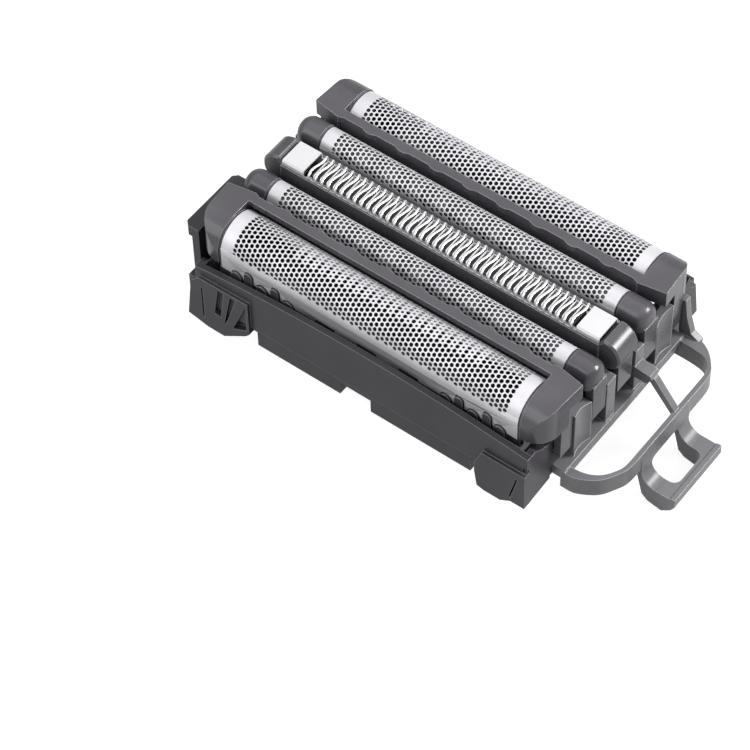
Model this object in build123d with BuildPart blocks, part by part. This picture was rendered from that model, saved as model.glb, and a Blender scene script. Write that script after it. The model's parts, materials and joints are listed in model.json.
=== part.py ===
from build123d import *
import math
import os

os.makedirs("parts", exist_ok=True)

# The head lies with its foils along X, its five rows side by side along Y and its feet at Z = 0.
# All sizes are in millimetres.

# Foils and rows
foil_length = 44.0
foil_thickness = 0.15
foil_groove = 0.35
outer_row_y = 12.75
outer_radius = 3.47
outer_crest = 16.4
outer_front_skirt = 2.7
outer_rear_skirt = 1.2
mid_row_y = 5.35
mid_radius = 1.85
mid_crest = 15.45
mid_skirt = 3.0

# The rear cassette lies lower and nearer the middle than the front one
rear_drop = 0.85
rear_shift = 0.8

# A plain grid of openings stands for the fine holes of the foils
opening_pitch = 4.1
opening_length = 2.8
opening_width = 1.5
opening_row_step = 2.5
openings_along = 10
openings_across = 2

# Slit comb in the middle row
comb_overhang = 1.55
comb_half_width = 2.0
comb_crest = 15.7
comb_bevel = 0.18
comb_bevel_drop = 0.3
comb_thickness = 0.2
comb_skirt = 1.9
comb_slot_depth = 0.65
comb_slot_pitch = 1.0
comb_slot_width = 0.6
comb_end_plate = 2.9

# Ends of the rows, measured from the ends of the foils
end_reach = 4.3
cap_reach = 4.2
mid_cap_reach = 4.15
knob_reach = 4.6
base_reach = 2.8
rim_proud = 0.12

# Base walls
wall_y = 18.0
wall_thickness = 0.8
wall_bottom = 4.3
wall_crown = 11.8
wall_shoulder = 10.2
end_wall_thickness = 0.9
end_wall_top = 8.7
end_wall_bottom = 1.9

# Tray under the base
tray_thickness = 1.6
tray_lip_y = 17.4
tray_lip_drop = 2.2

# Guides at the two ends
guide_clearance = 0.15
ledge_y = 12.7
ledge_depth = 1.8
ledge_bottom = 1.9
ledge_thickness = 1.7

# Travel of the floating units and stroke of the cutters
outer_lift = 1.0
mid_sink = 1.4
stroke = 1.0
stop_gap = 0.05

# Cutters
cutter_gap = 0.08
cutter_thickness = 0.3
cutter_margin = 1.8
cutter_slot_pitch = 4.0
cutter_slot_width = 2.0
cutter_facets = 6
neck_half_width = 0.95
neck_gap = 0.15

# Drive
drive_pin_radius = 1.6
drive_pin_depth = 3.6
tongue_half_width = 0.45
tongue_length = 2.0
tongue_gap = 0.05
tongue_top = 10.9

# Springs
spring_radius = 1.1
spring_bore = 0.8
spring_inset = 2.1
spring_top = 12.3

# Loop and hook tab at the right-hand end
loop_top = 3.3
loop_height = 3.0
loop_thickness = 0.65
loop_length = 5.9
loop_front_y = 12.75
loop_front_inner_y = 11.5
loop_rear_y = 13.7
loop_rear_inner_y = 11.8
loop_front_flat = 6.4
loop_rear_flat = 8.2
tab_half_width = 5.1
tab_shelf_top = -2.35
tab_reach = 5.0
tab_window_half_width = 2.9
tab_window_top = 0.3
tab_edge_width = 1.2

# Worked out from the sizes above
foil_half = foil_length / 2
cap_start = foil_half + foil_groove
end_face = foil_half + end_reach
base_half_length = foil_half + base_reach
outer_arch_z = outer_crest - outer_radius
mid_arch_z = mid_crest - mid_radius
comb_length = foil_length + 2 * comb_overhang
cutter_length = foil_length - 2 * cutter_margin
tray_top = wall_bottom
tray_bottom = tray_top - tray_thickness
wall_inner_y = wall_y - wall_thickness
end_inner_x = base_half_length - end_wall_thickness
ledge_x = base_half_length + ledge_depth
spring_x = base_half_length - spring_inset
loop_reach = ledge_x + loop_length


def labelled(part, name):
    """Name a finished piece and write it to its own file."""
    part.label = name
    export_step(part, f"parts/{name}.step")
    return part


def ring_arch(row_y, arch_z, radius, thickness, front_skirt, rear_skirt):
    """Section of a bent sheet: a half ring with two straight skirts, drawn in the YZ plane."""
    with BuildSketch(Plane.YZ) as section:
        with Locations((row_y, arch_z)):
            Circle(radius)
            Circle(radius - thickness, mode=Mode.SUBTRACT)
            Rectangle(3 * radius, 2 * radius, align=(Align.CENTER, Align.MAX), mode=Mode.SUBTRACT)
        with Locations((row_y - radius, arch_z)):
            Rectangle(thickness, front_skirt, align=(Align.MIN, Align.MAX))
        with Locations((row_y + radius, arch_z)):
            Rectangle(thickness, rear_skirt, align=(Align.MAX, Align.MAX))
    return section.sketch


def cut_openings(row_y, arch_z, radius, across):
    """Cutters for a grid of openings in the crown of a foil."""
    with BuildPart() as cutters:
        with BuildSketch(Plane.XY.offset(arch_z + 0.2 * radius)):
            with Locations((0, row_y)):
                with GridLocations(opening_pitch, opening_row_step, openings_along, across):
                    Rectangle(opening_length, opening_width)
        extrude(amount=radius)
    return cutters.part


# Outer foils: a wide arch whose front skirt is bitten out over the pegs that hold it

low_bite_radius = 0.9
low_bite_top = 11.15
low_bite_places = (11.7, 15.75, 19.6)
high_bite_radius = 0.7
high_bite_top = 12.15
high_bite_places = (13.7, 17.75)
notch_width = 2.9
notch_places = (-6.2, 0.0, 6.2)
notch_rise = 0.45
peg_gap = 0.1
peg_proud = 0.3
outer_skirt_z = outer_arch_z - outer_front_skirt
outer_skirt_y = -(outer_row_y + outer_radius)


def bite_outlines(face_y, gap, foot):
    """Round-topped outlines of all the bites, smaller by a gap, in a plane that faces the front."""
    with BuildSketch(Plane.XZ.offset(-face_y)) as outlines:
        for places, top, half_width in ((low_bite_places, low_bite_top, low_bite_radius),
                                        (high_bite_places, high_bite_top, high_bite_radius)):
            radius = half_width - gap
            spots = [(side * place, top - half_width) for place in places for side in (-1, 1)]
            with Locations(*spots):
                Circle(radius)
                Rectangle(2 * radius, top - half_width - foot, align=(Align.CENTER, Align.MAX))
    return outlines.sketch


def make_outer_foil():
    cut_y = outer_skirt_y - foil_thickness
    with BuildPart() as foil:
        add(ring_arch(-outer_row_y, outer_arch_z, outer_radius, foil_thickness,
                      outer_front_skirt, outer_rear_skirt))
        extrude(amount=foil_half, dir=(1, 0, 0), both=True)
        add(bite_outlines(cut_y, 0, outer_skirt_z - 1.0))
        extrude(amount=4 * foil_thickness, dir=(0, 1, 0), mode=Mode.SUBTRACT)
        with BuildSketch(Plane.XZ.offset(-cut_y)):
            for place in notch_places:
                with Locations((place, outer_skirt_z)):
                    Rectangle(notch_width, 2 * notch_rise)
        extrude(amount=-4 * foil_thickness, mode=Mode.SUBTRACT)
        add(cut_openings(-outer_row_y, outer_arch_z, outer_radius, openings_across), mode=Mode.SUBTRACT)
    return foil.part


# Carrier of an outer foil: two caps, a strip behind the front skirt and a rail behind the arch

strip_thickness = 0.75
strip_bottom = 8.8
strip_top = 11.95
core_inner_x = base_half_length - 3.4
rail_lip = 0.85
rail_outer_y = -10.0
rail_hollow_y = -9.0
rail_web_y = -8.8
rail_wave_pitch = 5.05
rail_wave_radius = 2.0
rail_wave_height = 0.5
cap_inner_y = -8.5
cap_taper = 0.65
cap_nose_y = -13.2
cap_nose_set_back = 0.3
cap_front_bottom = 10.9
cap_inner_bottom = 14.0
leg_outer_y = -12.75
leg_inner_y = -10.55
leg_thickness = 1.15
outer_leg_thickness = 0.95
outer_leg_bottom = 5.8
lug_height = 0.8
lug_reach = 0.75
leg_face = end_face - 0.1
rim_radius = outer_radius + rim_proud
cap_front_y = -(outer_row_y + rim_radius)
cap_top = outer_arch_z + rim_radius
cap_end = foil_half + cap_reach
cap_step_y = leg_inner_y - rear_shift
outer_leg_face = cap_end - cap_nose_set_back


def cap_plan():
    """Outline of an outer cap from above: tapered inner side, slanting end and a round front corner."""
    nose_x = cap_end - cap_nose_set_back
    straight_x = cap_start + 0.25
    arc_x = straight_x + (nose_x - straight_x) * math.cos(math.pi / 4)
    arc_y = cap_nose_y + (cap_front_y - cap_nose_y) * math.sin(math.pi / 4)
    with BuildSketch(Plane.XY.offset(cap_front_bottom - 1.0)) as plan:
        with BuildLine():
            Polyline((straight_x, cap_front_y), (cap_start, cap_front_y), (cap_start, cap_inner_y),
                     (cap_end, cap_inner_y - cap_taper), (nose_x, cap_nose_y))
            ThreePointArc((nose_x, cap_nose_y), (arc_x, arc_y), (straight_x, cap_front_y))
        make_face()
    return plan.sketch


def make_outer_cap():
    """Right-hand cap: the arch goes on into a flat top beside it, and a core fills the end of the foil."""
    core_radius = outer_radius - foil_thickness
    with BuildPart() as cap:
        with BuildSketch(Plane.YZ.offset(cap_start)):
            with BuildLine():
                Polyline((-outer_row_y, cap_top), (cap_inner_y, cap_top), (cap_inner_y, cap_inner_bottom),
                         (cap_step_y, cap_inner_bottom), (cap_step_y, cap_front_bottom),
                         (cap_front_y, cap_front_bottom), (cap_front_y, outer_arch_z))
                RadiusArc((cap_front_y, outer_arch_z), (-outer_row_y, cap_top), rim_radius)
            make_face()
        extrude(amount=cap_end - cap_start)
        add(cap_plan())
        extrude(amount=cap_top, dir=(0, 0, 1), mode=Mode.INTERSECT)
        with BuildSketch(Plane.YZ.offset(core_inner_x)):
            with Locations((-outer_row_y, outer_arch_z)):
                Circle(core_radius)
                Rectangle(3 * core_radius, 2 * core_radius, align=(Align.CENTER, Align.MAX), mode=Mode.SUBTRACT)
                Rectangle(2 * core_radius, outer_rear_skirt, align=(Align.CENTER, Align.MAX))
        extrude(amount=cap_start - core_inner_x + 0.2)
    return cap.part


def make_outer_leg():
    """Right-hand leg of an outer cap with its stop lug."""
    with BuildPart() as leg:
        with BuildSketch(Plane.YZ.offset(outer_leg_face)):
            with Locations((leg_outer_y, outer_leg_bottom)):
                Rectangle(leg_inner_y - leg_outer_y, cap_inner_bottom + 0.2 - outer_leg_bottom, align=Align.MIN)
        extrude(amount=-outer_leg_thickness)
        with BuildSketch(Plane.YZ.offset(outer_leg_face - outer_leg_thickness)):
            with Locations((leg_outer_y, outer_leg_bottom)):
                Rectangle(leg_inner_y - leg_outer_y, lug_height, align=Align.MIN)
        extrude(amount=-lug_reach)
    return leg.part


def make_rail():
    """The wavy-edged rail beside an outer foil, from cap to cap."""
    web_y = -(outer_row_y - outer_radius)
    with BuildPart() as rail:
        with BuildSketch(Plane.YZ.offset(-cap_start)):
            with Locations((web_y, outer_arch_z - outer_rear_skirt)):
                Rectangle(rail_web_y - web_y, cap_top - outer_arch_z + outer_rear_skirt, align=Align.MIN)
        extrude(amount=2 * cap_start)
        with BuildSketch(Plane.XY.offset(cap_top - rail_lip)):
            waves = 2 * round(foil_half / rail_wave_pitch + 0.5)
            with Locations((0, rail_hollow_y - rail_wave_radius + rail_wave_height)):
                with GridLocations(rail_wave_pitch, 0, waves, 1):
                    Circle(rail_wave_radius)
            with Locations((0, rail_outer_y)):
                Rectangle(2 * cap_start, rail_hollow_y - rail_outer_y, align=(Align.CENTER, Align.MIN))
                Rectangle(2 * cap_start, 3.0, align=(Align.CENTER, Align.MIN), mode=Mode.INTERSECT)
        extrude(amount=rail_lip)
    return rail.part


def make_pegs():
    """The pegs that show in the bites of the front skirt."""
    with BuildPart() as pegs:
        add(bite_outlines(outer_skirt_y - peg_proud, peg_gap, strip_bottom))
        extrude(amount=peg_proud + foil_thickness + 0.1, dir=(0, 1, 0))
    return pegs.part


def make_outer_carrier():
    with BuildPart() as carrier:
        add(make_outer_cap())
        add(mirror(make_outer_cap(), about=Plane.YZ))
        add(make_rail())
        with BuildSketch(Plane.YZ.offset(-cap_start)):
            with Locations((outer_skirt_y + foil_thickness, strip_bottom)):
                Rectangle(strip_thickness, strip_top - strip_bottom, align=Align.MIN)
        extrude(amount=2 * cap_start)
        add(make_pegs())
    return carrier.part


def with_legs(carrier):
    """Join the two legs, which stand at the same place in the front and the rear cassette."""
    with BuildPart() as whole:
        add(carrier)
        add(make_outer_leg())
        add(mirror(make_outer_leg(), about=Plane.YZ))
    return whole.part


front_foil = make_outer_foil()
front_carrier = make_outer_carrier()
rear_place = Pos(0, rear_shift, -rear_drop)

labelled(front_foil, "front_foil")
labelled(with_legs(front_carrier), "front_carrier")
labelled(mirror(rear_place * front_foil, about=Plane.XZ), "rear_foil")
labelled(mirror(with_legs(rear_place * front_carrier), about=Plane.XZ), "rear_carrier")


# Middle foils: a narrow arch on a light carrier with domed caps

mid_cap_radius = mid_radius + 0.1
mid_cap_bottom = 12.5
mid_cap_round = 1.45
mid_leg_half = 1.35
mid_leg_bottom = 6.85
block_bottom = 10.2
block_inner_x = base_half_length - 3.4
mid_strip_top = 12.0
window_top = mid_leg_bottom + lug_height + stop_gap


def make_mid_foil():
    with BuildPart() as foil:
        add(ring_arch(-mid_row_y, mid_arch_z, mid_radius, foil_thickness, mid_skirt, mid_skirt))
        extrude(amount=foil_half, dir=(1, 0, 0), both=True)
        add(cut_openings(-mid_row_y, mid_arch_z, mid_radius, 1), mode=Mode.SUBTRACT)
    return foil.part


def make_leg(row_y, half_width, bottom, top):
    """A leg at the outer end with its stop lug, drawn for the right-hand end."""
    with BuildPart() as leg:
        with BuildSketch(Plane.YZ.offset(leg_face)):
            with Locations((row_y, bottom)):
                Rectangle(2 * half_width, top - bottom, align=(Align.CENTER, Align.MIN))
        extrude(amount=-leg_thickness)
        with BuildSketch(Plane.YZ.offset(leg_face - leg_thickness)):
            with Locations((row_y, bottom)):
                Rectangle(2 * half_width, lug_height, align=(Align.CENTER, Align.MIN))
        extrude(amount=-lug_reach)
    return leg.part


def make_mid_cap():
    """Domed cap, with a core that fills the end of the foil."""
    with BuildPart() as cap:
        with BuildSketch(Plane.YZ.offset(cap_start)):
            with Locations((-mid_row_y, mid_arch_z)):
                Circle(mid_cap_radius)
                Rectangle(2 * mid_cap_radius, mid_arch_z - mid_cap_bottom, align=(Align.CENTER, Align.MAX))
            with Locations((-mid_row_y, mid_cap_bottom)):
                Rectangle(3 * mid_cap_radius, 2 * mid_cap_radius, align=(Align.CENTER, Align.MAX),
                          mode=Mode.SUBTRACT)
        extrude(amount=foil_half + mid_cap_reach - cap_start)
        outer_face = cap.faces().sort_by(Axis.X)[-1]
        fillet(outer_face.edges().filter_by(lambda edge: edge.center().Z > mid_cap_bottom + 0.1), mid_cap_round)
        with BuildSketch(Plane.YZ.offset(block_inner_x)):
            with Locations((-mid_row_y, mid_arch_z)):
                Circle(mid_radius - foil_thickness)
                Rectangle(3 * mid_radius, 2 * mid_radius, align=(Align.CENTER, Align.MAX), mode=Mode.SUBTRACT)
                Rectangle(2 * (mid_radius - foil_thickness), mid_arch_z - mid_cap_bottom,
                          align=(Align.CENTER, Align.MAX))
        extrude(amount=cap_start - block_inner_x + 0.2)
    return cap.part


def make_end_block(row_y, half_width, top, face):
    """The block under a cap that holds a spring in a blind pocket."""
    with BuildPart() as block:
        with BuildSketch(Plane.XY.offset(block_bottom)):
            with Locations((block_inner_x, row_y)):
                Rectangle(face - block_inner_x, 2 * half_width, align=(Align.MIN, Align.CENTER))
        extrude(amount=top - block_bottom)
    return block.part


def spring_pockets(row_y):
    """The two blind pockets under a carrier's ends."""
    with BuildPart() as pockets:
        with BuildSketch(Plane.XY.offset(block_bottom)):
            for side in (-1, 1):
                with Locations((side * spring_x, row_y)):
                    Circle(spring_radius + 0.12)
        extrude(amount=spring_top - block_bottom)
    return pockets.part


def make_mid_carrier():
    half = mid_radius - foil_thickness
    with BuildPart() as end:
        add(make_mid_cap())
        add(make_leg(-mid_row_y, mid_leg_half, mid_leg_bottom, mid_cap_bottom + 0.5))
        add(make_end_block(-mid_row_y, half, mid_cap_bottom + 0.5, base_half_length - 0.2))
    with BuildPart() as carrier:
        add(end.part)
        add(mirror(end.part, about=Plane.YZ))
        with BuildSketch(Plane.XY.offset(block_bottom)):
            for side in (-1, 1):
                strip = half - neck_half_width - neck_gap
                with Locations((0, -mid_row_y + side * (half - strip / 2))):
                    Rectangle(2 * block_inner_x + 1.0, strip)
        extrude(amount=mid_strip_top - block_bottom)
        add(spring_pockets(-mid_row_y), mode=Mode.SUBTRACT)
    return carrier.part


def faceted_arch(row_y, arch_z, radius, thickness, skirt):
    """Section of a folded blade: an arch of flat facets with two short skirts, in the YZ plane."""
    turns = [math.pi * step / cutter_facets for step in range(cutter_facets + 1)]
    inner_radius = radius - thickness
    outer = [(row_y + radius * math.cos(turn), arch_z + radius * math.sin(turn)) for turn in turns]
    inner = [(row_y - inner_radius * math.cos(turn), arch_z + inner_radius * math.sin(turn)) for turn in turns]
    foot = arch_z - skirt
    with BuildSketch(Plane.YZ) as section:
        with BuildLine():
            Polyline((row_y + radius, foot), *outer, (row_y - radius, foot),
                     (row_y - inner_radius, foot), *inner, (row_y + inner_radius, foot), close=True)
        make_face()
    return section.sketch


def make_mid_cutter():
    """Arched steel blade with cross slots, running just under the foil."""
    blade_radius = mid_radius - foil_thickness - cutter_gap
    with BuildPart() as blade:
        add(faceted_arch(-mid_row_y, mid_arch_z, blade_radius, cutter_thickness, 0.9))
        extrude(amount=cutter_length / 2, dir=(1, 0, 0), both=True)
        slots = int(cutter_length // cutter_slot_pitch)
        with BuildSketch(Plane.XY.offset(mid_arch_z - 0.4)):
            with Locations((0, -mid_row_y)):
                with GridLocations(cutter_slot_pitch, 0, slots, 1):
                    Rectangle(cutter_slot_width, 4 * blade_radius)
        extrude(amount=2 * mid_radius, mode=Mode.SUBTRACT)
    return blade.part


def make_mid_cutter_holder():
    blade_bore = mid_radius - foil_thickness - cutter_gap - cutter_thickness
    core_radius = blade_bore * math.cos(math.pi / (2 * cutter_facets)) - 0.01
    neck_bottom = block_bottom - 0.8
    with BuildPart() as holder:
        with BuildSketch(Plane.YZ):
            with Locations((-mid_row_y, mid_arch_z)):
                Circle(core_radius)
                Rectangle(3 * core_radius, 2 * core_radius, align=(Align.CENTER, Align.MAX), mode=Mode.SUBTRACT)
                Rectangle(2 * core_radius, 0.9, align=(Align.CENTER, Align.MAX))
            with Locations((-mid_row_y, neck_bottom)):
                Rectangle(2 * neck_half_width, mid_arch_z - neck_bottom, align=(Align.CENTER, Align.MIN))
        extrude(amount=cutter_length / 2 - 0.6, both=True)
        with BuildSketch(Plane.XY.offset(neck_bottom)):
            with Locations((0, -mid_row_y)):
                Rectangle(tongue_length + 2 * tongue_gap, 2 * (tongue_half_width + tongue_gap))
        extrude(amount=tongue_top + mid_sink + 0.3 - neck_bottom, mode=Mode.SUBTRACT)
    return holder.part


mid_front_foil = make_mid_foil()
mid_front_carrier = make_mid_carrier()
mid_front_cutter = make_mid_cutter()
mid_front_cutter_holder = make_mid_cutter_holder()

labelled(mid_front_foil, "mid_front_foil")
labelled(mid_front_carrier, "mid_front_carrier")
labelled(mid_front_cutter, "mid_front_cutter")
labelled(mid_front_cutter_holder, "mid_front_cutter_holder")
labelled(mirror(mid_front_foil, about=Plane.XZ), "mid_rear_foil")
labelled(mirror(mid_front_carrier, about=Plane.XZ), "mid_rear_carrier")
labelled(mirror(mid_front_cutter, about=Plane.XZ), "mid_rear_cutter")
labelled(mirror(mid_front_cutter_holder, about=Plane.XZ), "mid_rear_cutter_holder")


# Slit comb: a steel channel with bevelled edges, a row of cross ribs and two plain end plates

comb_side_z = comb_crest - comb_bevel_drop
comb_wall = 0.25
comb_cutter_half = 1.55


def comb_section(start, half_width, crest, skirt, thickness):
    """Section of a bevelled channel, drawn in the YZ plane at the given X."""
    side = crest - comb_bevel_drop
    foot = side - skirt
    flat = half_width - comb_bevel
    inner = half_width - thickness
    inner_flat = flat - thickness / 2
    with BuildSketch(Plane.YZ.offset(start)) as section:
        with BuildLine():
            Polyline((-half_width, foot), (-half_width, side), (-flat, crest), (flat, crest),
                     (half_width, side), (half_width, foot), (inner, foot), (inner, side - thickness / 2),
                     (inner_flat, crest - thickness), (-inner_flat, crest - thickness),
                     (-inner, side - thickness / 2), (-inner, foot), close=True)
        make_face()
    return section.sketch


def make_slit_comb():
    slotted = comb_length - 2 * comb_end_plate
    slots = int(slotted // comb_slot_pitch)
    with BuildPart() as comb:
        add(comb_section(-comb_length / 2, comb_half_width, comb_crest, comb_skirt, comb_thickness))
        extrude(amount=comb_length, dir=(1, 0, 0))
        with BuildSketch(Plane.XY.offset(comb_side_z - comb_slot_depth)):
            with GridLocations(comb_slot_pitch, 0, slots, 1):
                Rectangle(comb_slot_width, 4 * comb_half_width)
        extrude(amount=comb_slot_depth + 2 * comb_bevel_drop, mode=Mode.SUBTRACT)
    return comb.part


knob_half = comb_half_width + 0.03
knob_top = comb_crest + 0.05
knob_bottom = 11.2
knob_round = 2.4
knob_gap = 0.1
comb_leg_half = 1.45
comb_wall_top = 14.9


def make_knob():
    """The end of the comb holder: a block rounded about an axis that runs across the rows."""
    start = comb_length / 2 + knob_gap
    reach = foil_half + knob_reach
    waist = knob_top - knob_round - 0.5
    with BuildPart() as knob:
        with BuildSketch(Plane.XZ.offset(-knob_half)):
            with BuildLine():
                crest = reach - knob_round
                Polyline((crest, knob_top), (start, knob_top - 0.7), (start, knob_bottom),
                         (reach - 1.1, knob_bottom))
                ThreePointArc((reach - 1.1, knob_bottom), (reach - 0.3, (knob_bottom + waist) / 2), (reach, waist))
                Line((reach, waist), (reach, knob_top - knob_round))
                RadiusArc((reach, knob_top - knob_round), (crest, knob_top), -knob_round)
            make_face()
        extrude(amount=2 * knob_half)
        chamfer(knob.edges().filter_by(lambda edge: abs(edge.center().Y) > knob_half - 0.01
                                       and edge.center().X > start + 0.1
                                       and edge.center().Z > knob_bottom + 0.1), 0.25)
    return knob.part


def make_comb_holder():
    half = comb_half_width + comb_wall
    with BuildPart() as end:
        add(make_knob())
        add(make_leg(0, comb_leg_half, mid_leg_bottom, knob_bottom + 0.5))
        add(make_end_block(0, comb_half_width, 13.0, base_half_length))
    with BuildPart() as holder:
        add(end.part)
        add(mirror(end.part, about=Plane.YZ))
        with BuildSketch(Plane.XY.offset(block_bottom)):
            Rectangle(comb_length + 0.2, 2 * half)
            Rectangle(2 * block_inner_x, 2 * (neck_half_width + neck_gap), mode=Mode.SUBTRACT)
        extrude(amount=mid_strip_top - block_bottom)
        with BuildSketch(Plane.XY.offset(mid_strip_top)):
            Rectangle(comb_length + 0.2, 2 * half)
            Rectangle(comb_length - 0.8, 2 * (comb_half_width - 0.4), mode=Mode.SUBTRACT)
        extrude(amount=comb_wall_top - mid_strip_top)
        add(spring_pockets(0), mode=Mode.SUBTRACT)
        with BuildSketch(Plane.XY.offset(comb_side_z - comb_skirt)):
            Rectangle(comb_length, 2 * comb_half_width)
        extrude(amount=4.0, mode=Mode.SUBTRACT)
    return holder.part


def make_comb_cutter():
    slots = int(cutter_length // cutter_slot_pitch)
    with BuildPart() as blade:
        cutter_crest = comb_crest - comb_thickness - cutter_gap
        add(comb_section(-cutter_length / 2, comb_cutter_half, cutter_crest, 1.6, cutter_thickness))
        extrude(amount=cutter_length, dir=(1, 0, 0))
        with BuildSketch(Plane.XY.offset(comb_side_z - 1.0)):
            with GridLocations(cutter_slot_pitch, 0, slots, 1):
                Rectangle(cutter_slot_width, 4 * comb_cutter_half)
        extrude(amount=3.0, mode=Mode.SUBTRACT)
    return blade.part


def make_comb_cutter_holder():
    neck_bottom = block_bottom - 0.8
    bar_half = comb_cutter_half - cutter_thickness
    bar_top = comb_crest - comb_thickness - cutter_gap - cutter_thickness - comb_bevel_drop
    with BuildPart() as holder:
        with BuildSketch(Plane.YZ):
            with Locations((0, mid_strip_top + 0.3)):
                Rectangle(2 * bar_half, bar_top - mid_strip_top - 0.3, align=(Align.CENTER, Align.MIN))
            with Locations((0, neck_bottom)):
                Rectangle(2 * neck_half_width, bar_top - neck_bottom, align=(Align.CENTER, Align.MIN))
        extrude(amount=cutter_length / 2 - 0.6, both=True)
        with BuildSketch(Plane.XY.offset(neck_bottom)):
            Rectangle(tongue_length + 2 * tongue_gap, 2 * (tongue_half_width + tongue_gap))
        extrude(amount=tongue_top + mid_sink + 0.3 - neck_bottom, mode=Mode.SUBTRACT)
    return holder.part


labelled(make_slit_comb(), "slit_comb")
labelled(make_comb_holder(), "comb_holder")
labelled(make_comb_cutter(), "comb_cutter")
labelled(make_comb_cutter_holder(), "comb_cutter_holder")


# Return springs under the three middle units

def make_spring():
    """Coil spring, drawn as the sleeve that its turns fill."""
    with BuildPart() as sleeve:
        with BuildSketch(Plane.XY.offset(tray_top)):
            RegularPolygon(spring_radius, 8)
            RegularPolygon(spring_bore + 0.05, 8, mode=Mode.SUBTRACT)
        extrude(amount=spring_top - tray_top)
    return sleeve.part


spring = make_spring()
for row_name, row_y in (("mid_front", -mid_row_y), ("comb", 0), ("mid_rear", mid_row_y)):
    for end_name, side in (("left", -1), ("right", 1)):
        labelled(Pos(side * spring_x, row_y, 0) * spring, f"{row_name}_spring_{end_name}")


# Drive slider: carries the socket for the drive pin and one tongue for each cutter

slider_half_length = 7.0
slider_half_width = mid_row_y + 1.6
slider_thickness = 1.4
slider_gap = 0.1
boss_radius = 2.6


def make_drive_slider():
    floor = tray_top + slider_gap
    with BuildPart() as slider:
        with BuildSketch(Plane.XY.offset(floor)):
            RectangleRounded(2 * slider_half_length, 2 * slider_half_width, 1.2)
        extrude(amount=slider_thickness)
        with BuildSketch(Plane.XY.offset(tray_bottom)):
            Circle(boss_radius)
        extrude(amount=drive_pin_depth + 0.7)
        with BuildSketch(Plane.XY.offset(floor)):
            with GridLocations(0, mid_row_y, 1, 3):
                Rectangle(tongue_length, 2 * tongue_half_width)
        extrude(amount=tongue_top - floor)
        with BuildSketch(Plane.XY.offset(tray_bottom)):
            Circle(drive_pin_radius)
        extrude(amount=drive_pin_depth, mode=Mode.SUBTRACT)
    return slider.part


labelled(make_drive_slider(), "drive_slider")


# Tray: the floor of the head, open under the two outer foils, with a lip under each long wall

tray_half_length = end_inner_x
tray_half_width = wall_inner_y
trough_half_length = foil_half - 0.8
trough_inner_y = 9.4
trough_outer_y = 15.8
lip_left = 6.0 - foil_half
lip_right = foil_half - 5.8
lip_notch_left = -3.3
lip_notch_right = 1.3


def make_spring_tray():
    with BuildPart() as tray:
        with BuildSketch(Plane.XY.offset(tray_bottom)):
            Rectangle(2 * tray_half_length, 2 * tray_half_width)
            for side in (-1, 1):
                with Locations((0, side * (trough_inner_y + trough_outer_y) / 2)):
                    Rectangle(2 * trough_half_length, trough_outer_y - trough_inner_y, mode=Mode.SUBTRACT)
            RectangleRounded(2 * (boss_radius + stroke + 0.3), 2 * (boss_radius + 0.3), 1.0, mode=Mode.SUBTRACT)
        extrude(amount=tray_thickness)
        with BuildSketch(Plane.XY.offset(tray_top)):
            for side in (-1, 1):
                lip_middle = side * (trough_outer_y + tray_lip_y) / 2
                with Locations(((lip_left + lip_right) / 2, lip_middle)):
                    Rectangle(lip_right - lip_left, tray_lip_y - trough_outer_y)
        extrude(amount=-tray_thickness)
        with BuildSketch(Plane.XY.offset(tray_bottom)):
            for side in (-1, 1):
                lip_middle = side * (trough_outer_y + tray_lip_y) / 2
                for start, stop in ((lip_left, lip_notch_left), (lip_notch_right, lip_right)):
                    with Locations(((start + stop) / 2, lip_middle)):
                        Rectangle(stop - start, tray_lip_y - trough_outer_y)
        extrude(amount=-tray_lip_drop)
        with BuildSketch(Plane.XY.offset(tray_top)):
            for row_y in (-mid_row_y, 0, mid_row_y):
                for side in (-1, 1):
                    with Locations((side * spring_x, row_y)):
                        RegularPolygon(spring_bore - 0.1, 6)
        extrude(amount=1.2)
    return tray.part


labelled(make_spring_tray(), "spring_tray")


# Guide posts: the row of uprights between which the legs slide

post_depth = end_face - base_half_length
wide_post_inner = mid_row_y + mid_leg_half + guide_clearance
wide_post_outer = -leg_inner_y - 0.25
narrow_post_inner = 2.1
narrow_post_outer = mid_row_y - mid_leg_half - guide_clearance
outer_post_inner = -leg_outer_y + guide_clearance
wide_post_top = 11.4
wide_post_inner_top = 10.7
narrow_post_top = 10.85


def make_posts(bottom):
    """The four uprights of the right-hand end."""
    with BuildPart() as posts:
        with BuildSketch(Plane.YZ.offset(base_half_length)):
            for side in (-1, 1):
                with BuildLine():
                    Polyline((side * wide_post_inner, bottom), (side * wide_post_outer, bottom),
                             (side * wide_post_outer, wide_post_top),
                             (side * wide_post_inner, wide_post_inner_top),
                             (side * wide_post_inner, bottom))
                make_face()
                with BuildLine():
                    Polyline((side * narrow_post_inner, bottom), (side * narrow_post_outer, bottom),
                             (side * narrow_post_outer, narrow_post_top),
                             (side * narrow_post_inner, narrow_post_top + 0.15),
                             (side * narrow_post_inner, bottom))
                make_face()
        extrude(amount=post_depth)
        hollow_radius = 4.0
        for side in (-1, 1):
            middle = side * (wide_post_inner + wide_post_outer) / 2
            with BuildSketch(Plane.XY.offset(bottom + ledge_thickness)):
                with Locations((end_face + hollow_radius - 0.5, middle)):
                    Circle(hollow_radius)
            extrude(amount=wide_post_top, mode=Mode.SUBTRACT)
    return posts.part


# Base frame

block_left = -base_half_length - 1.3
block_left_end = 5.6 - foil_half
block_right_start = foil_half - 4.5
block_proud = 0.5
block_top = 9.1
recess_depth = 0.9
corner_depth = 4.6
guard_x = end_face + 1.3
guard_gap = 0.2
guard_y = 15.0
guard_lip_x = guard_x + 1.1
guard_lip_bottom = 10.9
guard_lip_top = 12.6
guard_lip_inner = 5.0
guard_lip_round = 0.6
guard_low_top = 9.2


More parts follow.
